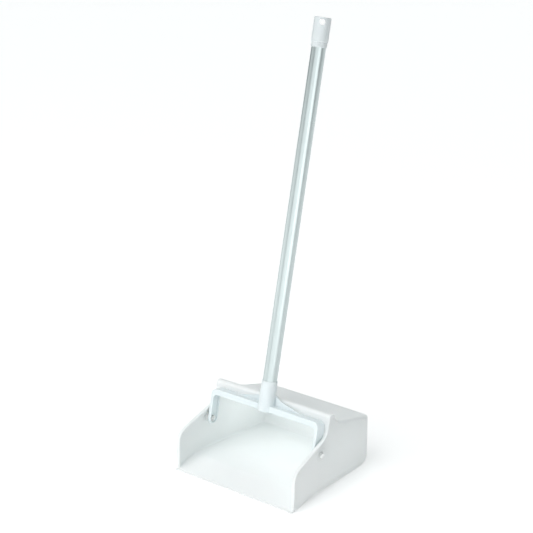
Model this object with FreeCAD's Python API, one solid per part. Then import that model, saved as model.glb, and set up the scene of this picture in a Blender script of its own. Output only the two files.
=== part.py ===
"""Upright lobby dust pan: a hooded scoop whose long handle swings on a yoke between its side walls.

The pan is modelled with +X to the right of someone facing its mouth, +Y from the lip towards the
closed back and +Z up, in millimetres, with the lip at y = 0 on the floor. The handle parts are
modelled upright about the pivot and then leaned back onto the hood. Every part is last moved so that
the origin is on the floor, in the middle of the whole object's footprint.
"""
import FreeCAD, Part
import math
import os
from FreeCAD import Placement, Rotation, Vector

os.makedirs("parts", exist_ok=True)

# ---- driving dimensions, mm ------------------------------------------------------------------

# pan, seen from above
MOUTH_WIDTH = 300.0
SIDE_TAPER = 0.053              # each side wall closes in by this much per mm towards the back
WALL = 3.0
RIM_WIDTH = 7.5                 # the wall is this thick along its front edge
RIM_DEPTH = 6.0                 # and this far back from that edge
SKIRT_INSET = 6.0               # inner face of the skirt below the floor, from the outer wall
SKIRT_FRONT = 6.0               # the hollow under the floor starts this far behind the lip's flat
REAR_CORNER_RADIUS = 22.0

# pan, side view
LIP_THICKNESS = 1.8
LIP_FLAT = 8.0
FRONT_EDGE_Y = 5.5
FRONT_EDGE_SLOPE = 0.035        # the wall's front edge leans back by this much per mm of height
SHOULDER_Y = 32.0
SHOULDER_Z = 86.0
SHOULDER_SLOPE = 0.338
SHOULDER_RADIUS = 26.0
THROAT_RADIUS = 24.0
RIDGE_TOP_Z = 156.0
RIDGE_BACK_Y = 140.0
RIDGE_RADIUS = 7.2
VALLEY_Y = 147.0
VALLEY_Z = 138.7
VALLEY_RADIUS = 8.0
ROOF_REAR_Y = 275.5
ROOF_REAR_Z = 103.6
ROOF_REAR_RADIUS = 11.0
ROOF_CROWN = 3.0                # the roof's middle stands this much above its sides
ROOF_SIDE_RADIUS = 6.0
HEEL_Y = 282.3
HEEL_RADIUS = 40.0
HEEL_FLAT_Y = 238.0
HEEL_INNER_Z = 34.0
HEEL_INNER_RADIUS = 24.0
FLOOR_CORNER_RADIUS = 6.0
SCOOP_EDGE_RADIUS = 4.0         # the floor runs up into the walls with this radius
SCOOP_EDGE_TOP_Z = 60.0         # the walls are plain above this height
ARCH_Y = 78.0                   # the skirt's lower edge arches up between lip and heel
ARCH_Z = 8.8
ARCH_RADIUS = 120.0

# pan, inside
CREST_Y = 56.0
CREST_Z = 18.6
CREST_RADIUS = 25.0
FLOOR_REAR_Z = 12.6
HOOD_LOW_Z = 128.0              # lower edge of the hood's front
RIDGE_HOLLOW_Z = 149.0
RIDGE_HOLLOW_RADIUS = 3.0
HOOD_CORNER_RADIUS = 12.0       # the opening under the hood has rounded upper corners
BEVEL_FRONT_Z = 26.5            # crease above the bevelled foot of the outer wall, at the lip
BEVEL_SLOPE = 0.078
BEVEL_INSET = 2.5
RIB_THICKNESS = 2.4
RIB_X = (-84.0, -28.0, 28.0, 84.0)
RIB_FRONT_Y = 30.0
RIB_HEIGHT = 12.0
RIB_LOWERING = 2.5              # the ribs' lower edges are this far below the top of the arch
PAD_LENGTH = 26.0
PAD_WIDTH = 12.0
PAD_FRONT_Y = 236.0
PAD_HEIGHT = 11.6

# pivot
PIVOT_Y = 95.2
PIVOT_Z = 85.4
SCREW_RADIUS = 3.0
SCREW_HEAD_RADIUS = 6.5
SCREW_HEAD_HEIGHT = 3.0
SCREW_HEAD_ROUND = 2.2
SCREW_TIP_X = 124.5
RUNNING_GAP = 0.06              # radial play of a part that turns on the screw
SIDE_GAP = 0.25                 # axial play beside a part that turns
SEAT_GAP = 0.02                 # radial play of parts that are fastened together
OUTER_BOSS_RADIUS = 12.0
OUTER_BOSS_X = 146.2
BOSS_ROUND = 0.8
INNER_BOSS_RADIUS = 10.0
INNER_BOSS_X = 138.0
SPACER_RADIUS = 8.5
WASHER_RADIUS = 6.3
WASHER_THICKNESS = 1.0
NUT_FLATS = 10.0
NUT_HEIGHT = 5.0

# handle
LEAN = math.radians(13.1)
REST_T = 15.5                   # the hood's rest face, behind the pivot and square to the handle
YOKE_HALF_WIDTH = 134.8
YOKE_FLANGE_X = 127.8
YOKE_FRONT_T = -9.2
YOKE_BACK_T = 15.2
YOKE_WEB = 2.8
YOKE_FLANGE = 2.6
YOKE_CORNER_RADIUS = 12.0
YOKE_INNER_RADIUS = 8.0
YOKE_EDGE_RADIUS = 1.6           # rounding of the yoke's front edges
BAR_LOW_S = 51.0
BAR_TOP_S = 63.5
GUSSET_FOOT_X = 76.0             # thin plates rise from the bar to the socket on both sides
GUSSET_FOOT_RADIUS = 60.0
GUSSET_HEAD_X = 26.0
GUSSET_HEAD_S = 75.6
GUSSET_HEAD_RADIUS = 14.0
GUSSET_TOP_S = 84.0
GUSSET_FRONT_T = 7.5
GUSSET_THICKNESS = 3.4
SOCKET_RELIEF_S = 83.0           # the socket is flat at the back below this, to clear the hood
SOCKET_TOP_S = 112.3
SOCKET_TOP_RADIUS = 15.7
SOCKET_LOW_RADIUS = 16.9
SOCKET_FLOOR_S = 75.0
TUBE_RADIUS = 14.3
TUBE_WALL = 1.2
TUBE_TOP_S = 806.0
PLUG_LENGTH = 38.0
PLUG_CHAMFER = 1.5
FIXING_S = 96.0
FIXING_RADIUS = 2.0
FIXING_HEAD_RADIUS = 4.0
FIXING_HEAD_HEIGHT = 2.2
FIXING_HEAD_ROUND = 1.2
FIXING_SLOT_WIDTH = 1.2
FIXING_SLOT_LENGTH = 6.0
FIXING_SLOT_DEPTH = 1.0
FIXING_TIP_T = 4.0
FIXING_STANDOFF = 0.4
CAP_LOW_S = 771.0
CAP_STEP_S = 780.5
CAP_STEP_LENGTH = 1.2
CAP_EDGE_ROUND = 0.4
CAP_END_GAP = 0.5
CAP_TOP_S = 828.0
CAP_COLLAR_RADIUS = 15.5
CAP_RADIUS = 16.6
CAP_TOP_ROUND = 2.0
HANG_HOLE_S = 819.2
HANG_HOLE_RADIUS = 6.0
HANG_HOLE_TURN = 37.0           # degrees that the pushed-on cap is turned about the tube

# far enough to pass right through the object, and a little way past a face that is cut
REACH = 400.0
MARGIN = 10.0

ROOF_SLOPE = (ROOF_REAR_Z - VALLEY_Z) / (ROOF_REAR_Y - VALLEY_Y)
# from the lip to the rounded back edge of the leaning handle's top
OVERALL_DEPTH = (PIVOT_Y + (CAP_TOP_S - CAP_TOP_ROUND) * math.sin(LEAN)
                 + (CAP_RADIUS - CAP_TOP_ROUND) * math.cos(LEAN) + CAP_TOP_ROUND)


# ---- helpers -----------------------------------------------------------------------------------

def meeting_point(p, p_dir, q, q_dir):
    """The point where two lines of a plane cross, each given by a point and a direction."""
    cross = p_dir[0] * q_dir[1] - p_dir[1] * q_dir[0]
    along = ((q[0] - p[0]) * q_dir[1] - (q[1] - p[1]) * q_dir[0]) / cross
    return (p[0] + along * p_dir[0], p[1] + along * p_dir[1])


def rounded_outline(corners, to_space):
    """A closed face through (u, v, radius) corners, each rounded by an arc of its radius."""
    edges = []
    ends = []
    count = len(corners)
    for i in range(count):
        here = Vector(corners[i][0], corners[i][1], 0)
        before = Vector(corners[i - 1][0], corners[i - 1][1], 0)
        after = Vector(corners[(i + 1) % count][0], corners[(i + 1) % count][1], 0)
        radius = corners[i][2]
        if radius == 0:
            ends.append((here, None, here))
            continue
        into = (before - here).normalize()
        out = (after - here).normalize()
        half = into.getAngle(out) / 2
        setback = radius / math.tan(half)
        middle = here + (into + out).normalize() * (radius / math.sin(half) - radius)
        ends.append((here + into * setback, middle, here + out * setback))
    for i in range(count):
        start, middle, finish = ends[i]
        if middle is not None:
            edges.append(Part.Arc(to_space(start), to_space(middle), to_space(finish)).toShape())
        following = ends[(i + 1) % count][0]
        if (following - finish).Length > 1e-6:
            edges.append(Part.LineSegment(to_space(finish), to_space(following)).toShape())
    return Part.Face(Part.Wire(edges))


def side_prism(corners, half_width):
    """A (y, z) outline made solid across the width, from -half_width to +half_width."""
    face = rounded_outline(corners, lambda p: Vector(-half_width, p.x, p.y))
    return face.extrude(Vector(2 * half_width, 0, 0))


def plan_prism(inset):
    """The pan's footprint drawn in by inset on three sides, as tall as anything here."""
    front = -5 * MARGIN
    back = HEEL_Y - inset
    corner = max(REAR_CORNER_RADIUS - inset, 1.0)
    wide = MOUTH_WIDTH / 2 - SIDE_TAPER * front - inset
    narrow = MOUTH_WIDTH / 2 - SIDE_TAPER * back - inset
    corners = [(-wide, front, 0), (wide, front, 0), (narrow, back, corner), (-narrow, back, corner)]
    face = rounded_outline(corners, lambda p: Vector(p.x, p.y, -REACH / 2))
    return face.extrude(Vector(0, 0, REACH))


def cylinder_x(radius, x_from, x_to, y, z):
    low = min(x_from, x_to)
    return Part.makeCylinder(radius, abs(x_to - x_from), Vector(low, y, z), Vector(1, 0, 0))


def mirrored(shape):
    """The same shape on the other side of the middle plane."""
    return shape.mirror(Vector(0, 0, 0), Vector(1, 0, 0))


def on_side(shape, side):
    return shape if side > 0 else mirrored(shape)


def leaned(shape):
    """Take a handle part from its upright frame, origin at the pivot, to its rest place."""
    moved = shape.copy()
    turn = Rotation(Vector(1, 0, 0), -math.degrees(LEAN))
    moved.Placement = Placement(Vector(0, PIVOT_Y, PIVOT_Z), turn).multiply(moved.Placement)
    return moved


def rest_face_y(z):
    """Where the hood's rest face is at height z between the side walls."""
    return PIVOT_Y + (z - PIVOT_Z) * math.tan(LEAN) + REST_T / math.cos(LEAN)


def save(name, shape):
    placed = shape.copy()
    placed.translate(Vector(0, -OVERALL_DEPTH / 2, 0))
    placed.exportStep("parts/" + name + ".step")


# ---- the pan -------------------------------------------------------------------------------------

def wall_edge_corners(depth):
    """Corners of the wall's front edge from its foot up to the hood, set back by depth."""
    edge_foot = (FRONT_EDGE_Y + depth, 0.0)
    edge_dir = (FRONT_EDGE_SLOPE, 1.0)
    drop = depth * math.hypot(1.0, SHOULDER_SLOPE)
    shoulder_point = (SHOULDER_Y, SHOULDER_Z - drop)
    shoulder_dir = (1.0, SHOULDER_SLOPE)
    cheek_point = (rest_face_y(0.0) + depth / math.cos(LEAN), 0.0)
    cheek_dir = (math.tan(LEAN), 1.0)
    shoulder = meeting_point(edge_foot, edge_dir, shoulder_point, shoulder_dir)
    throat = meeting_point(cheek_point, cheek_dir, shoulder_point, shoulder_dir)
    return [
        (shoulder[0], shoulder[1], SHOULDER_RADIUS - depth),
        (throat[0], throat[1], THROAT_RADIUS + depth),
    ]


def outer_corners():
    """The pan's outline from the side."""
    return [
        (0.0, 0.0, 0),
        (0.0, LIP_THICKNESS, 0),
        (FRONT_EDGE_Y, LIP_THICKNESS + 1.0, 0),
        *wall_edge_corners(0.0),
        (rest_face_y(RIDGE_TOP_Z), RIDGE_TOP_Z, RIDGE_RADIUS),
        (RIDGE_BACK_Y, RIDGE_TOP_Z, RIDGE_RADIUS),
        (VALLEY_Y, VALLEY_Z, VALLEY_RADIUS),
        (ROOF_REAR_Y, ROOF_REAR_Z, ROOF_REAR_RADIUS),
        (HEEL_Y, 0.0, HEEL_RADIUS),
        (HEEL_FLAT_Y, 0.0, 0),
        (ARCH_Y, ARCH_Z, ARCH_RADIUS),
        (LIP_FLAT, 0.0, 0),
    ]


def roof_shaper():
    """What is above the crowned roof, to be cut away behind the valley."""
    start_y = VALLEY_Y + VALLEY_RADIUS
    start_z = VALLEY_Z + ROOF_SLOPE * VALLEY_RADIUS
    half = MOUTH_WIDTH / 2
    side = start_z - ROOF_CROWN
    crown = Vector(0, start_y, start_z)
    arc = Part.Arc(Vector(-half, start_y, side), crown, Vector(half, start_y, side))
    top = start_z + REACH / 4
    edges = [
        arc.toShape(),
        Part.LineSegment(Vector(half, start_y, side), Vector(half, start_y, top)).toShape(),
        Part.LineSegment(Vector(half, start_y, top), Vector(-half, start_y, top)).toShape(),
        Part.LineSegment(Vector(-half, start_y, top), Vector(-half, start_y, side)).toShape(),
    ]
    run = ROOF_REAR_Y
    return Part.Face(Part.Wire(edges)).extrude(Vector(0, run, ROOF_SLOPE * run))


def round_roof_edges(shape):
    """Round the long upper edges between the roof and the side walls."""
    chosen = []
    for edge in shape.Edges:
        middle = edge.CenterOfMass
        is_long = edge.BoundBox.YLength > (ROOF_REAR_Y - VALLEY_Y) / 2
        is_high = middle.z > ROOF_REAR_Z - MARGIN and middle.y > VALLEY_Y
        if is_long and is_high and abs(middle.x) > MOUTH_WIDTH / 3:
            chosen.append(edge)
    return shape.makeFillet(ROOF_SIDE_RADIUS, chosen)


def foot_bevel(side):
    """A wedge outside the foot of one side wall, below its sloping crease."""
    def outside(y):
        return MOUTH_WIDTH / 2 - SIDE_TAPER * y

    sections = []
    for y in (-MARGIN, HEEL_Y + MARGIN):
        crease = BEVEL_FRONT_Z - BEVEL_SLOPE * y
        low = -1.0
        corners = [
            Vector(outside(y), y, crease),
            Vector(outside(y) + MARGIN, y, crease),
            Vector(outside(y) + MARGIN, y, low),
            Vector(outside(y) - BEVEL_INSET, y, low),
        ]
        sections.append(Part.makePolygon(corners + corners[:1]))
    return on_side(Part.makeLoft(sections, True, True), side)


def scoop_corners():
    """The space that is open to the mouth, from the side."""
    heel_inner = HEEL_Y - WALL
    rear_slope = (ROOF_REAR_Y - HEEL_Y) / ROOF_REAR_Z
    rear_top = (ROOF_REAR_Y - WALL, ROOF_REAR_Z - WALL * math.hypot(1.0, ROOF_SLOPE))
    back_dir = (VALLEY_Y - RIDGE_BACK_Y, VALLEY_Z - RIDGE_TOP_Z)
    thin = WALL / math.hypot(*back_dir)
    back_point = (RIDGE_BACK_Y + thin * back_dir[1], RIDGE_TOP_Z - thin * back_dir[0])
    valley = meeting_point(back_point, back_dir, rear_top, (1.0, ROOF_SLOPE))
    ridge_back = meeting_point(back_point, back_dir, (0.0, RIDGE_HOLLOW_Z), (1.0, 0.0))
    front_inner = WALL / math.cos(LEAN)
    return [
        (-MARGIN, LIP_THICKNESS, 0),
        (0.0, LIP_THICKNESS, 0),
        (CREST_Y, CREST_Z, CREST_RADIUS),
        (heel_inner - 2 * FLOOR_CORNER_RADIUS, FLOOR_REAR_Z, FLOOR_CORNER_RADIUS),
        (heel_inner + rear_slope * HEEL_INNER_Z, HEEL_INNER_Z, HEEL_INNER_RADIUS),
        (rear_top[0], rear_top[1], ROOF_REAR_RADIUS - WALL),
        (valley[0], valley[1], VALLEY_RADIUS + WALL),
        (ridge_back[0], ridge_back[1], RIDGE_HOLLOW_RADIUS),
        (rest_face_y(RIDGE_HOLLOW_Z) + front_inner, RIDGE_HOLLOW_Z, RIDGE_HOLLOW_RADIUS),
        (rest_face_y(HOOD_LOW_Z) + front_inner, HOOD_LOW_Z, 0),
        (rest_face_y(HOOD_LOW_Z), HOOD_LOW_Z, 0),
        (rest_face_y(REACH / 2), REACH / 2, 0),
        (-MARGIN, REACH / 2, 0),
    ]


def scoop_bottom():
    """The lower part of the scoop's inside, its long lower edges and corners rounded."""
    top = 2 * SCOOP_EDGE_TOP_Z
    outline = scoop_corners()[:6]
    heel = outline[4]
    back_dir = (outline[5][0] - heel[0], outline[5][1] - heel[1])
    back_top = meeting_point(heel[:2], back_dir, (0.0, top), (1.0, 0.0))
    corners = [*outline[:5], (back_top[0], top, 0), (-MARGIN, top, 0)]
    block = side_prism(corners, REACH / 2).common(plan_prism(WALL))
    lower_edges = []
    for edge in block.Edges:
        box = edge.BoundBox
        is_low = box.ZMax < SCOOP_EDGE_TOP_Z
        goes_across = box.XLength > MOUTH_WIDTH / 2
        if is_low and box.YLength > SCOOP_EDGE_RADIUS / 10 and not goes_across:
            lower_edges.append(edge)
    return block.makeFillet(SCOOP_EDGE_RADIUS, lower_edges)


def scoop_space():
    """The scoop's inside, with a crowned ceiling and rounded lower edges."""
    space = side_prism(scoop_corners(), REACH / 2).common(plan_prism(WALL))
    ceiling = roof_shaper()
    ceiling.translate(Vector(0, 0, -WALL * math.hypot(1.0, ROOF_SLOPE)))
    space = space.cut(ceiling)
    below = Part.makeBox(
        2 * REACH, 2 * REACH, REACH, Vector(-REACH, -REACH / 2, SCOOP_EDGE_TOP_Z - REACH))
    return space.cut(below).fuse(scoop_bottom().common(below)).removeSplitter()


def undercroft_corners():
    """The hollow below the ramp and the floor, from the side."""
    ramp_slope = (CREST_Z - LIP_THICKNESS) / CREST_Y
    start_y = LIP_FLAT + SKIRT_FRONT
    start_z = LIP_THICKNESS + ramp_slope * start_y - WALL
    floor_slope = (FLOOR_REAR_Z - CREST_Z) / (HEEL_Y - CREST_Y)
    back_y = HEEL_Y - HEEL_RADIUS / 2
    return [
        (start_y, -MARGIN, 0),
        (start_y, start_z, 0),
        (CREST_Y + 1, CREST_Z - WALL, CREST_RADIUS - WALL),
        (back_y, CREST_Z - WALL + floor_slope * (back_y - CREST_Y), 0),
        (back_y, -MARGIN, 0),
    ]


def wall_rim():
    """The thickened band along the front edges of both side walls."""
    outer = wall_edge_corners(0.0)
    inner = wall_edge_corners(RIM_DEPTH)
    top = RIDGE_TOP_Z - 2 * RIDGE_RADIUS
    corners = [
        (FRONT_EDGE_Y, LIP_THICKNESS, 0),
        *outer,
        (rest_face_y(top), top, 0),
        (rest_face_y(top) + RIM_DEPTH / math.cos(LEAN), top, 0),
        *reversed(inner),
        (FRONT_EDGE_Y + RIM_DEPTH, LIP_THICKNESS, 0),
    ]
    band = side_prism(corners, REACH / 2)
    return band.common(plan_prism(0.0)).cut(plan_prism(RIM_WIDTH))


def hood_corner(side):
    """The web that rounds one upper corner of the opening, between the wall's rim and the hood."""
    low = HOOD_LOW_Z - HOOD_CORNER_RADIUS
    outer = MOUTH_WIDTH / 2 - SIDE_TAPER * rest_face_y(HOOD_LOW_Z)
    inner = outer - RIM_WIDTH - HOOD_CORNER_RADIUS
    top = HOOD_LOW_Z + WALL
    front = PIVOT_Y
    face = rounded_outline(
        [
            (outer, low, 0),
            (outer, top, 0),
            (inner, top, 0),
            (inner, HOOD_LOW_Z, 0),
            (outer - RIM_WIDTH, HOOD_LOW_Z, HOOD_CORNER_RADIUS - 0.01),
            (outer - RIM_WIDTH, low, 0),
        ],
        lambda p: Vector(p.x, front, p.y))
    block = face.extrude(Vector(0, REACH / 4, 0))
    slab = side_prism(
        [
            (rest_face_y(low - 1), low - 1, 0),
            (rest_face_y(top + 1), top + 1, 0),
            (rest_face_y(top + 1) + WALL / math.cos(LEAN), top + 1, 0),
            (rest_face_y(low - 1) + WALL / math.cos(LEAN), low - 1, 0),
        ],
        REACH / 2)
    return on_side(block.common(slab), side)


def pivot_boss(side):
    """Raised rings on both faces of one side wall, around its screw."""
    boss = cylinder_x(OUTER_BOSS_RADIUS, INNER_BOSS_X + 4, OUTER_BOSS_X, PIVOT_Y, PIVOT_Z)
    outer_edges = [e for e in boss.Edges if e.CenterOfMass.x > OUTER_BOSS_X - 0.1 and e.Closed]
    boss = boss.makeFillet(BOSS_ROUND, outer_edges[:1])
    boss = boss.fuse(cylinder_x(INNER_BOSS_RADIUS, INNER_BOSS_X, OUTER_BOSS_X - 2, PIVOT_Y, PIVOT_Z))
    return on_side(boss, side)


def underside_ribs():
    """Stiffening ribs that run from the ramp to the heel below the floor."""
    ribs = []
    length = HEEL_Y - HEEL_RADIUS - RIB_FRONT_Y
    for x in RIB_X:
        corner = Vector(x - RIB_THICKNESS / 2, RIB_FRONT_Y, ARCH_Z - RIB_LOWERING)
        ribs.append(Part.makeBox(RIB_THICKNESS, length, RIB_HEIGHT, corner))
    return ribs


def heel_pads():
    """Two flat pads under the back corners that stand on the floor with the lip."""
    inner = MOUTH_WIDTH / 2 - SIDE_TAPER * PAD_FRONT_Y - SKIRT_INSET - PAD_LENGTH
    pads = []
    for side in (-1, 1):
        pad = Part.makeBox(PAD_LENGTH + 1, PAD_WIDTH, PAD_HEIGHT, Vector(inner, PAD_FRONT_Y, 0))
        pads.append(on_side(pad, side))
    return pads


def pan_body():
    outer = side_prism(outer_corners(), MOUTH_WIDTH / 2)
    outer = outer.common(plan_prism(0.0))
    outer = outer.cut(roof_shaper())
    outer = round_roof_edges(outer)
    body = outer.cut(scoop_space())
    under = side_prism(undercroft_corners(), REACH / 2).common(plan_prism(SKIRT_INSET))
    for rib in underside_ribs():
        under = under.cut(rib)
    body = body.cut(under)
    body = body.fuse(wall_rim().common(outer))
    for side in (-1, 1):
        body = body.fuse(hood_corner(side).common(outer))
    for pad in heel_pads():
        body = body.fuse(pad)
    near = INNER_BOSS_X - MARGIN
    far = OUTER_BOSS_X + MARGIN
    for side in (-1, 1):
        body = body.cut(foot_bevel(side))
        body = body.fuse(pivot_boss(side))
        body = body.cut(cylinder_x(SCREW_RADIUS + SEAT_GAP, side * near, side * far, PIVOT_Y, PIVOT_Z))
    return body.removeSplitter()


# ---- the handle, upright about the pivot: x across, y back (t), z up the handle (s) ----------------

def front_view_prism(corners, t_from, t_to):
    """An (x, s) outline made solid from t_from back to t_to."""
    face = rounded_outline(corners, lambda p: Vector(p.x, t_from, p.y))
    return face.extrude(Vector(0, t_to - t_from, 0))


def yoke_outer_corners(inset):
    """Corners of the yoke's front outline: two legs below a straight bar."""
    half = YOKE_HALF_WIDTH - inset
    top_s = BAR_TOP_S - inset
    corner = YOKE_CORNER_RADIUS - inset
    low_s = BAR_LOW_S - REACH / 4
    return [(half, low_s, 0), (half, top_s, corner), (-half, top_s, corner), (-half, low_s, 0)]


def gusset_corners():
    """Corners of the thin plate that rises from the bar to the socket on both sides."""
    low_s = BAR_TOP_S - YOKE_WEB / 2
    right = [
        (GUSSET_FOOT_X + 6, low_s, 0),
        (GUSSET_FOOT_X + 6, BAR_TOP_S - 0.01, 0),
        (GUSSET_FOOT_X, BAR_TOP_S, GUSSET_FOOT_RADIUS / 2),
        (GUSSET_HEAD_X, GUSSET_HEAD_S, GUSSET_HEAD_RADIUS),
        (SOCKET_LOW_RADIUS - 3, GUSSET_TOP_S, 0),
    ]
    left = [(-x, s, r) for x, s, r in reversed(right)]
    return right + left


def yoke_window_corners():
    """The opening between the legs, below the bar."""
    low_s = BAR_LOW_S - REACH / 4 - MARGIN
    return [
        (YOKE_FLANGE_X, low_s, 0),
        (YOKE_FLANGE_X, BAR_LOW_S, YOKE_INNER_RADIUS),
        (-YOKE_FLANGE_X, BAR_LOW_S, YOKE_INNER_RADIUS),
        (-YOKE_FLANGE_X, low_s, 0),
    ]


def leg_side_prism(inset):
    """The yoke's outline from the side: straight faces, and a round end below the pivot."""
    front = YOKE_FRONT_T + inset
    back = YOKE_BACK_T - inset
    radius = (YOKE_BACK_T - YOKE_FRONT_T) / 2 - 0.01
    low = -radius + inset
    corners = [
        (front, SOCKET_TOP_S, 0),
        (front, low, radius - inset),
        (back, low, radius - inset),
        (back, SOCKET_TOP_S, 0),
    ]
    return side_prism(corners, REACH / 2)


def fixing_hole():
    """The hole for the fixing screw through the back of the socket and the tube."""
    start = Vector(0, TUBE_RADIUS / 2, FIXING_S)
    return Part.makeCylinder(FIXING_RADIUS + SEAT_GAP, SOCKET_TOP_RADIUS, start, Vector(0, 1, 0))


def handle_yoke():
    frame = front_view_prism(yoke_outer_corners(0.0), YOKE_FRONT_T, YOKE_BACK_T)
    frame = frame.cut(front_view_prism(yoke_window_corners(), YOKE_FRONT_T - 1, YOKE_BACK_T + 1))
    frame = frame.common(leg_side_prism(0.0))
    front_edges = []
    for edge in frame.Edges:
        box = edge.BoundBox
        on_front = box.YMax < YOKE_FRONT_T + 0.01
        if on_front and box.ZMin > -SCREW_RADIUS:
            front_edges.append(edge)
    frame = frame.makeFillet(YOKE_EDGE_RADIUS, front_edges)
    channel = front_view_prism(
        yoke_outer_corners(YOKE_WEB), YOKE_FRONT_T + YOKE_FLANGE, YOKE_BACK_T - YOKE_FLANGE)
    frame = frame.cut(channel.common(leg_side_prism(YOKE_FLANGE)))
    gusset = front_view_prism(gusset_corners(), GUSSET_FRONT_T, GUSSET_FRONT_T + GUSSET_THICKNESS)
    socket_length = SOCKET_TOP_S - BAR_LOW_S
    socket = Part.makeCone(
        SOCKET_LOW_RADIUS, SOCKET_TOP_RADIUS, socket_length, Vector(0, 0, BAR_LOW_S), Vector(0, 0, 1))
    behind = Part.makeBox(
        REACH, REACH, REACH, Vector(-REACH / 2, YOKE_BACK_T, SOCKET_RELIEF_S - REACH))
    socket = socket.cut(behind)
    yoke = frame.fuse(gusset).fuse(socket)
    yoke = yoke.cut(Part.makeCylinder(
        TUBE_RADIUS + SEAT_GAP, SOCKET_TOP_S, Vector(0, 0, SOCKET_FLOOR_S), Vector(0, 0, 1)))
    yoke = yoke.cut(fixing_hole())
    near = YOKE_FLANGE_X - MARGIN
    far = YOKE_HALF_WIDTH + MARGIN
    for side in (-1, 1):
        yoke = yoke.cut(cylinder_x(SCREW_RADIUS + RUNNING_GAP, side * near, side * far, 0, 0))
    return leaned(yoke.removeSplitter())


def handle_tube():
    length = TUBE_TOP_S - SOCKET_FLOOR_S
    base = Vector(0, 0, SOCKET_FLOOR_S)
    up = Vector(0, 0, 1)
    tube = Part.makeCylinder(TUBE_RADIUS, length, base, up)
    tube = tube.cut(Part.makeCylinder(TUBE_RADIUS - TUBE_WALL, length, base, up))
    return leaned(tube.cut(fixing_hole()))


def tube_plug():
    """The plastic plug in the tube's lower end that the fixing screw bites into."""
    radius = TUBE_RADIUS - TUBE_WALL - SEAT_GAP
    plug = Part.makeCylinder(radius, PLUG_LENGTH, Vector(0, 0, SOCKET_FLOOR_S), Vector(0, 0, 1))
    plug = plug.makeChamfer(PLUG_CHAMFER, [plug.Edges[0]])
    hole_depth = TUBE_RADIUS - FIXING_TIP_T + 1
    start = Vector(0, FIXING_TIP_T - 1, FIXING_S)
    plug = plug.cut(
        Part.makeCylinder(FIXING_RADIUS + SEAT_GAP, hole_depth, start, Vector(0, 1, 0)))
    return leaned(plug)


def fixing_screw():
    """The screw through the back of the socket that holds the tube."""
    back = Vector(0, 1, 0)
    seat_t = SOCKET_TOP_RADIUS + FIXING_STANDOFF
    tip = Vector(0, FIXING_TIP_T, FIXING_S)
    shank = Part.makeCylinder(FIXING_RADIUS, seat_t - FIXING_TIP_T, tip, back)
    seat = Vector(0, seat_t, FIXING_S)
    head = Part.makeCylinder(FIXING_HEAD_RADIUS, FIXING_HEAD_HEIGHT, seat, back)
    rim = [e for e in head.Edges if e.Closed and e.CenterOfMass.y > seat_t + FIXING_HEAD_HEIGHT - 0.1]
    head = head.makeFillet(FIXING_HEAD_ROUND, rim[:1])
    screw = shank.fuse(head)
    slot_t = seat_t + FIXING_HEAD_HEIGHT - FIXING_SLOT_DEPTH
    sides = (FIXING_SLOT_WIDTH, FIXING_SLOT_LENGTH)
    for across, along in (sides, sides[::-1]):
        corner = Vector(-across / 2, slot_t, FIXING_S - along / 2)
        screw = screw.cut(Part.makeBox(across, FIXING_HEAD_HEIGHT, along, corner))
    return leaned(screw.removeSplitter())


def hang_cap():
    """The end cap: a collar, a fuller body over the tube's top and a solid end with the hang hole."""
    up = Vector(0, 0, 1)
    profile = [
        (0, CAP_LOW_S, 0),
        (CAP_COLLAR_RADIUS, CAP_LOW_S, CAP_EDGE_ROUND),
        (CAP_COLLAR_RADIUS, CAP_STEP_S, 0),
        (CAP_RADIUS, CAP_STEP_S + CAP_STEP_LENGTH, CAP_EDGE_ROUND),
        (CAP_RADIUS, CAP_TOP_S, CAP_TOP_ROUND),
        (0, CAP_TOP_S, 0),
    ]
    half = rounded_outline(profile, lambda p: Vector(p.x, 0, p.y))
    cap = half.revolve(Vector(0, 0, 0), up, 360)
    depth = TUBE_TOP_S + CAP_END_GAP - CAP_LOW_S
    cap = cap.cut(Part.makeCylinder(TUBE_RADIUS + SEAT_GAP, depth, Vector(0, 0, CAP_LOW_S), up))
    turn = math.radians(HANG_HOLE_TURN)
    along = Vector(math.sin(turn), -math.cos(turn), 0)
    start = Vector(0, 0, HANG_HOLE_S) - along * 2 * CAP_RADIUS
    cap = cap.cut(Part.makeCylinder(HANG_HOLE_RADIUS, 4 * CAP_RADIUS, start, along))
    return leaned(cap)


# ---- the pivots, in the pan's frame -----------------------------------------------------------------

def pivot_screw(side):
    """A domed screw, put in from outside the wall."""
    shank = cylinder_x(SCREW_RADIUS, SCREW_TIP_X, OUTER_BOSS_X + 1, PIVOT_Y, PIVOT_Z)
    head = cylinder_x(
        SCREW_HEAD_RADIUS, OUTER_BOSS_X, OUTER_BOSS_X + SCREW_HEAD_HEIGHT, PIVOT_Y, PIVOT_Z)
    outer_x = OUTER_BOSS_X + SCREW_HEAD_HEIGHT
    rim = [e for e in head.Edges if e.Closed and e.CenterOfMass.x > outer_x - 0.1]
    head = head.makeFillet(SCREW_HEAD_ROUND, rim[:1])
    return on_side(shank.fuse(head).removeSplitter(), side)


def ring_x(radius, x_from, x_to):
    """A ring on the pivot screw."""
    ring = cylinder_x(radius, x_from, x_to, PIVOT_Y, PIVOT_Z)
    return ring.cut(cylinder_x(SCREW_RADIUS + SEAT_GAP, x_from - 1, x_to + 1, PIVOT_Y, PIVOT_Z))


def pivot_spacer(side):
    """The nylon ring that keeps the yoke's leg off the wall."""
    return on_side(ring_x(SPACER_RADIUS, YOKE_HALF_WIDTH + SIDE_GAP, INNER_BOSS_X), side)


def pivot_washer(side):
    inner_x = YOKE_HALF_WIDTH - YOKE_WEB - SIDE_GAP
    return on_side(ring_x(WASHER_RADIUS, inner_x - WASHER_THICKNESS, inner_x), side)


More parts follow.
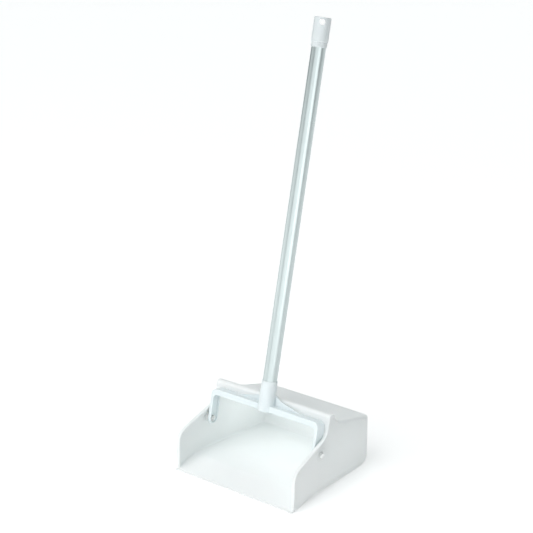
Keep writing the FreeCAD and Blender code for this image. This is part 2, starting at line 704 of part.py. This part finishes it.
def pivot_nut(side):
    """A hexagon lock nut on the inner end of the screw."""
    outer_x = YOKE_HALF_WIDTH - YOKE_WEB - SIDE_GAP - WASHER_THICKNESS
    corner = NUT_FLATS / math.sqrt(3)
    points = []
    for i in range(7):
        angle = math.radians(60 * i)
        y = PIVOT_Y + corner * math.cos(angle)
        z = PIVOT_Z + corner * math.sin(angle)
        points.append(Vector(outer_x - NUT_HEIGHT, y, z))
    nut = Part.Face(Part.makePolygon(points)).extrude(Vector(NUT_HEIGHT, 0, 0))
    hole = cylinder_x(SCREW_RADIUS + SEAT_GAP, outer_x - MARGIN, outer_x + MARGIN, PIVOT_Y, PIVOT_Z)
    return on_side(nut.cut(hole), side)


save("pan_body", pan_body())
save("handle_yoke", handle_yoke())
save("handle_tube", handle_tube())
save("tube_plug", tube_plug())
save("fixing_screw", fixing_screw())
save("hang_cap", hang_cap())
for side_name, side_sign in (("left", -1), ("right", 1)):
    save("pivot_screw_" + side_name, pivot_screw(side_sign))
    save("pivot_spacer_" + side_name, pivot_spacer(side_sign))
    save("pivot_washer_" + side_name, pivot_washer(side_sign))
    save("pivot_nut_" + side_name, pivot_nut(side_sign))
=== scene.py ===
"""Looks for the upright dust pan: camera, soft studio, materials and edge finish."""

import math

import bpy
from mathutils import Matrix, Vector

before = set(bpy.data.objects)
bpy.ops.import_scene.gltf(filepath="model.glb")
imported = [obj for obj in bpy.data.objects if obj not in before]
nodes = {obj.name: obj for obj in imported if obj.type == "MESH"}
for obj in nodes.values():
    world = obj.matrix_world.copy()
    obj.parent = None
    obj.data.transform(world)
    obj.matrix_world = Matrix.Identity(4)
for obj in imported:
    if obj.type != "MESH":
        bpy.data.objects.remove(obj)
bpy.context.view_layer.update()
scene = bpy.context.scene

# ---- camera ------------------------------------------------------------------------------------

CAMERA_PLACE = Vector((1.6248, -2.0802, 1.3389))
CAMERA_RIGHT = Vector((0.7823, 0.6229, 0.0))
CAMERA_UP = Vector((-0.2036, 0.2558, 0.945))
CAMERA_LENS = 97.155
SENSOR = 36.0
NEAR = 0.05
FAR = 50.0

right = CAMERA_RIGHT.normalized()
back = right.cross(CAMERA_UP).normalized()
up = back.cross(right)
camera_data = bpy.data.cameras.new("camera")
camera_data.lens = CAMERA_LENS
camera_data.sensor_width = SENSOR
camera_data.clip_start = NEAR
camera_data.clip_end = FAR
camera = bpy.data.objects.new("camera", camera_data)
scene.collection.objects.link(camera)
camera.matrix_world = Matrix.Translation(CAMERA_PLACE) @ Matrix((right, up, back)).transposed().to_4x4()
scene.camera = camera

# ---- studio --------------------------------------------------------------------------------------

SKY_COLOUR = (0.80, 0.98, 1.0, 1.0)
SKY_STRENGTH = 0.12
FLOOR_HALF = 12.0
# just below the lip's flat underside, so that the two faces don't coincide
FLOOR_Z = -0.0003
FLOOR_COLOUR = (0.95, 0.95, 0.95, 1.0)
FLOOR_ROUGHNESS = 0.9
# the sweep is lit from below as well, so that it stays white beside the object
FLOOR_GLOW = 0.25
# a lamp under the hood stands in for the light that comes through the thin moulding
HOOD_SIZE = (0.23, 0.11)
HOOD_RADIANCE = 0.85
HOOD_PLACE = (0.0, 0.050, 0.108)
HOOD_SLOPE = -15.0

scene.view_settings.view_transform = "Standard"
scene.view_settings.look = "None"

world = bpy.data.worlds.new("studio")
scene.world = world
world.use_nodes = True
world_shader = world.node_tree.nodes["Background"]
world_shader.inputs["Color"].default_value = SKY_COLOUR
world_shader.inputs["Strength"].default_value = SKY_STRENGTH


def add_lamp(data, facing=None):
    """A lamp in the scene that shines along facing."""
    lamp = bpy.data.objects.new(data.name, data)
    scene.collection.objects.link(lamp)
    if facing is not None:
        lamp.rotation_mode = "QUATERNION"
        lamp.rotation_quaternion = facing.to_track_quat("-Z", "Y")
    return lamp


def lit_panel(name, size, radiance):
    """The data of a lit rectangle whose sides are size metres."""
    data = bpy.data.lights.new(name, "AREA")
    data.shape = "RECTANGLE"
    data.size, data.size_y = size
    data.energy = radiance * math.pi * size[0] * size[1]
    return data


def soft_light(name, around, above, strength, spread):
    """A broad lamp far away: around degrees from the front towards +X, above the floor by above."""
    turn = math.radians(around)
    rise = math.radians(above)
    towards = Vector((math.sin(turn) * math.cos(rise), -math.cos(turn) * math.cos(rise), math.sin(rise)))
    data = bpy.data.lights.new(name, "SUN")
    data.energy = strength
    data.angle = math.radians(spread)
    return add_lamp(data, -towards)


def soft_box(name, around, distance, size, radiance):
    """An upright lit panel on the floor, around degrees from the front towards +X, facing the object."""
    turn = math.radians(around)
    outward = Vector((math.sin(turn), -math.cos(turn), 0.0))
    lamp = add_lamp(lit_panel(name, size, radiance), -outward)
    lamp.location = outward * distance + Vector((0.0, 0.0, size[1] / 2))
    return lamp


def limit_lamps(lamps, group_name, parts, state):
    """Lamps light only the named parts (INCLUDE), or all the others (EXCLUDE)."""
    group = bpy.data.collections.new(group_name)
    for number, part in enumerate(parts):
        group.objects.link(nodes[part])
        group.collection_objects[number].light_linking.link_state = state
    for lamp in lamps:
        lamp.light_linking.receiver_collection = group


key = soft_light("key", -12.0, 52.0, 1.10, 50.0)
soft_light("top", -10.0, 84.0, 0.90, 60.0)
soft_light("rear", 180.0, 45.0, 0.55, 60.0)
soft_box("left_box", -50.0, 3.0, (3.4, 1.6), 0.85)
front_box = soft_box("front_box", 2.0, 3.0, (2.6, 2.4), 0.80)
side_box = soft_box("side_box", 61.0, 2.5, (1.95, 2.0), 1.62)
side_glow = soft_box("side_glow", 12.0, 2.5, (2.3, 2.0), 1.22)

# the side panels make the tube's long highlight and light the white parts around it
limit_lamps((side_box, side_glow), "handle_side", ("handle_tube", "handle_yoke", "hang_cap"), "INCLUDE")
limit_lamps((key,), "all_but_tube", ("handle_tube",), "EXCLUDE")
limit_lamps((front_box,), "pan_side", ("handle_tube", "handle_yoke"), "EXCLUDE")

hood_glow = add_lamp(lit_panel("hood_glow", HOOD_SIZE, HOOD_RADIANCE))
hood_glow.location = HOOD_PLACE
hood_glow.rotation_euler = (math.radians(HOOD_SLOPE), 0.0, 0.0)
hood_glow.visible_camera = False


def plain_floor():
    material = bpy.data.materials.new("studio_floor")
    material.use_nodes = True
    shader = material.node_tree.nodes["Principled BSDF"]
    shader.inputs["Base Color"].default_value = FLOOR_COLOUR
    shader.inputs["Roughness"].default_value = FLOOR_ROUGHNESS
    shader.inputs["Emission Color"].default_value = (1.0, 1.0, 1.0, 1.0)
    shader.inputs["Emission Strength"].default_value = FLOOR_GLOW
    return material


floor_mesh = bpy.data.meshes.new("floor")
floor_corners = [(x * FLOOR_HALF, y * FLOOR_HALF, FLOOR_Z) for x, y in ((-1, -1), (1, -1), (1, 1), (-1, 1))]
floor_mesh.from_pydata(floor_corners, [], [(0, 1, 2, 3)])
floor = bpy.data.objects.new("floor", floor_mesh)
scene.collection.objects.link(floor)
floor.data.materials.append(plain_floor())

# ---- materials -----------------------------------------------------------------------------------
# A noise's scale is in features per metre, and a bump's depth is in metres.

LEAN = math.radians(13.1)
PLASTIC_IOR = 1.49
GLOW_RADIUS = (1.02, 1.0, 0.98)      # how far red, green and blue light spreads inside the plastic
ROUGHNESS_DOWN = 0.06                # a moulding's roughness varies by this much below its middle
ROUGHNESS_UP = 0.07                  # and by this much above it
SCUFF_TURN = 0.06                    # scuffs run nearly straight back, in radians from it


class Look:
    """A procedural material that is built up around its Principled shader."""

    def __init__(self, name):
        self.material = bpy.data.materials.new(name)
        self.material.use_nodes = True
        self.tree = self.material.node_tree
        self.shader = self.tree.nodes["Principled BSDF"]
        self.place = self.tree.nodes.new("ShaderNodeTexCoord").outputs["Object"]

    def node(self, kind, **settings):
        made = self.tree.nodes.new("ShaderNode" + kind)
        for setting, value in settings.items():
            setattr(made, setting, value)
        return made

    def link(self, source, target):
        self.tree.links.new(source, target)

    def stretched(self, scale, turn=(0.0, 0.0, 0.0)):
        """Object coordinates, turned and then scaled along each axis."""
        turned = self.node("Mapping")
        turned.inputs["Rotation"].default_value = turn
        self.link(self.place, turned.inputs["Vector"])
        scaled = self.node("Mapping")
        scaled.inputs["Scale"].default_value = scale
        self.link(turned.outputs["Vector"], scaled.inputs["Vector"])
        return scaled.outputs["Vector"]

    def noise(self, scale, detail=2.0, rough=0.5, where=None):
        made = self.node("TexNoise")
        made.inputs["Scale"].default_value = scale
        made.inputs["Detail"].default_value = detail
        made.inputs["Roughness"].default_value = rough
        self.link(where or self.place, made.inputs["Vector"])
        return made.outputs["Fac"]

    def ramp(self, source, stops):
        """source carried through grey or coloured stops, each (position, colour)."""
        made = self.node("ValToRGB")
        band = made.color_ramp
        while len(band.elements) < len(stops):
            band.elements.new(0.5)
        for element, (position, colour) in zip(band.elements, stops):
            element.position = position
            shade = colour if isinstance(colour, tuple) else (colour, colour, colour)
            element.color = (*shade, 1.0)
        self.link(source, made.inputs["Fac"])
        return made.outputs["Color"]

    def spread(self, source, low, high):
        """source, mostly 0.3 to 0.7, spread over low to high."""
        made = self.node("MapRange")
        made.inputs["From Min"].default_value = 0.3
        made.inputs["From Max"].default_value = 0.7
        made.inputs["To Min"].default_value = low
        made.inputs["To Max"].default_value = high
        self.link(source, made.inputs["Value"])
        return made.outputs["Result"]

    def times(self, first, second):
        made = self.node("Math", operation="MULTIPLY")
        self.link(first, made.inputs[0])
        self.link(second, made.inputs[1])
        return made.outputs["Value"]

    def bump(self, height, depth, before=None):
        """A bump whose full height is depth metres, added to any bump before it."""
        made = self.node("Bump")
        made.inputs["Distance"].default_value = depth
        made.inputs["Strength"].default_value = 1.0
        self.link(height, made.inputs["Height"])
        if before is not None:
            self.link(before, made.inputs["Normal"])
        return made.outputs["Normal"]


def moulded_plastic(name, dark, light, rough, grain, clear, depth, scuffs=0.0):
    """Moulded polypropylene: slightly clouded, finely grained, and scuffed where it is used."""
    look = Look(name)
    shader = look.shader
    cloud = look.noise(9.0, 3.0, 0.55)
    look.link(look.ramp(cloud, [(0.3, dark), (0.7, light)]), shader.inputs["Base Color"])
    patches = look.noise(26.0, 4.0, 0.6)
    look.link(look.spread(patches, rough - ROUGHNESS_DOWN, rough + ROUGHNESS_UP), shader.inputs["Roughness"])
    fine = look.bump(look.noise(1500.0, 2.0, 0.6), grain)
    soft = look.bump(look.noise(60.0, 1.0, 0.4), grain * 2.5, fine)
    if scuffs:
        # fine lines where dirt is swept in and knocked out, front to back
        drag = look.noise(1.0, 3.0, 0.7, look.stretched((900.0, 14.0, 60.0), (0.0, 0.0, SCUFF_TURN)))
        worn = look.ramp(look.noise(14.0, 2.0, 0.5), [(0.48, 0.0), (0.66, 1.0)])
        lines = look.ramp(drag, [(0.58, 0.0), (0.72, 1.0)])
        soft = look.bump(look.times(lines, worn), scuffs, soft)
    look.link(soft, shader.inputs["Normal"])
    shader.inputs["IOR"].default_value = PLASTIC_IOR
    shader.inputs["Subsurface Weight"].default_value = clear
    shader.inputs["Subsurface Radius"].default_value = GLOW_RADIUS
    shader.inputs["Subsurface Scale"].default_value = depth
    return look.material


def drawn_aluminium(name):
    """Anodised drawn tube: satin, with fine lines along its length."""
    look = Look(name)
    shader = look.shader
    lines = look.noise(1400.0, 3.0, 0.65, look.stretched((1.0, 1.0, 0.012), (LEAN, 0.0, 0.0)))
    cloud = look.noise(12.0, 3.0, 0.6)
    colour = look.ramp(lines, [(0.3, (0.545, 0.610, 0.610)), (0.7, (0.575, 0.640, 0.640))])
    look.link(colour, shader.inputs["Base Color"])
    shader.inputs["Metallic"].default_value = 1.0
    look.link(look.spread(cloud, 0.27, 0.35), shader.inputs["Roughness"])
    look.link(look.bump(lines, 0.000001), shader.inputs["Normal"])
    return look.material


def zinc_steel(name):
    """Zinc-plated steel: bright, slightly clouded, with a fine crystalline grain."""
    look = Look(name)
    shader = look.shader
    cloud = look.noise(240.0, 4.0, 0.6)
    colour = look.ramp(cloud, [(0.3, (0.76, 0.78, 0.78)), (0.7, (0.86, 0.87, 0.86))])
    look.link(colour, shader.inputs["Base Color"])
    shader.inputs["Metallic"].default_value = 1.0
    look.link(look.spread(look.noise(500.0, 3.0, 0.5), 0.24, 0.38), shader.inputs["Roughness"])
    look.link(look.bump(look.noise(2600.0, 2.0, 0.5), 0.000008), shader.inputs["Normal"])
    return look.material


PAN = moulded_plastic(
    "pan_plastic", dark=(0.893, 0.942, 0.936), light=(0.910, 0.955, 0.950),
    rough=0.44, grain=0.00004, clear=0.9, depth=0.005, scuffs=0.00005)
YOKE = moulded_plastic(
    "yoke_plastic", dark=(0.715, 0.772, 0.788), light=(0.740, 0.795, 0.808),
    rough=0.38, grain=0.00003, clear=0.6, depth=0.0025)
CAP = moulded_plastic(
    "cap_plastic", dark=(0.570, 0.610, 0.622), light=(0.595, 0.635, 0.645),
    rough=0.40, grain=0.00003, clear=0.6, depth=0.0025)
PLUG = moulded_plastic(
    "plug_plastic", dark=(0.600, 0.620, 0.620), light=(0.660, 0.680, 0.680),
    rough=0.50, grain=0.00004, clear=0.4, depth=0.002)
NYLON = moulded_plastic(
    "spacer_nylon", dark=(0.820, 0.830, 0.810), light=(0.860, 0.870, 0.850),
    rough=0.40, grain=0.00003, clear=0.6, depth=0.003)
TUBE = drawn_aluminium("tube_aluminium")
STEEL = zinc_steel("screw_steel")

# ---- edges ---------------------------------------------------------------------------------------
# The roundings that show on the pan, yoke and cap are the CAD's own. The bevel's overlap clamp leaves
# a few hundredths of a millimetre at most on those, the tube, its plug and the fixing screw, which is
# too narrow to see. Only the pivots' screws, spacers, washers and nuts get a bevel of a useful width.

WELD_GAP = 0.000002                  # a CAD face's corners are joined to its neighbours'
FLAT_ANGLE = math.radians(0.4)       # triangles that lie this nearly in one plane become one face
EDGE_ANGLE = math.radians(30.0)      # an edge sharper than this is bevelled
JOIN_GAP = 0.000001                  # the thinnest slivers beside the bevels are closed up
FACE_AREA_WEIGHT = 100


def round_edges(node, width, segments):
    """Bevel a node's sharp edges by up to width metres, as far as its shortest edges leave room."""
    weld = node.modifiers.new("weld", "WELD")
    weld.merge_threshold = WELD_GAP
    flat = node.modifiers.new("flat", "DECIMATE")
    flat.decimate_type = "DISSOLVE"
    flat.angle_limit = FLAT_ANGLE
    bevel = node.modifiers.new("bevel", "BEVEL")
    bevel.limit_method = "ANGLE"
    bevel.angle_limit = EDGE_ANGLE
    bevel.width = width
    bevel.segments = segments
    bevel.use_clamp_overlap = True
    join = node.modifiers.new("join", "WELD")
    join.merge_threshold = JOIN_GAP
    even = node.modifiers.new("even", "WEIGHTED_NORMAL")
    even.weight = FACE_AREA_WEIGHT
    even.keep_sharp = False


# each node's material, slot, widest bevel and the number of faces across it
FINISH = {
    "pan_body": (PAN, "pan_plastic", 0.0006, 3),
    "handle_yoke": (YOKE, "yoke_plastic", 0.0006, 3),
    "hang_cap": (CAP, "cap_plastic", 0.0004, 3),
    "handle_tube": (TUBE, "tube_aluminium", 0.0002, 2),
    "tube_plug": (PLUG, "plug_plastic", 0.0004, 2),
    "fixing_screw": (STEEL, "screw_steel", 0.00015, 2),
}
for side in ("left", "right"):
    FINISH["pivot_screw_" + side] = (STEEL, "screw_steel", 0.0002, 2)
    FINISH["pivot_spacer_" + side] = (NYLON, "spacer_nylon", 0.0003, 2)
    FINISH["pivot_washer_" + side] = (STEEL, "screw_steel", 0.00015, 2)
    FINISH["pivot_nut_" + side] = (NYLON, "spacer_nylon", 0.0004, 2)

for name, (material, slot_name, width, segments) in FINISH.items():
    node = nodes[name]
    for slot in node.material_slots:
        slot.material = material
    round_edges(node, width, segments)
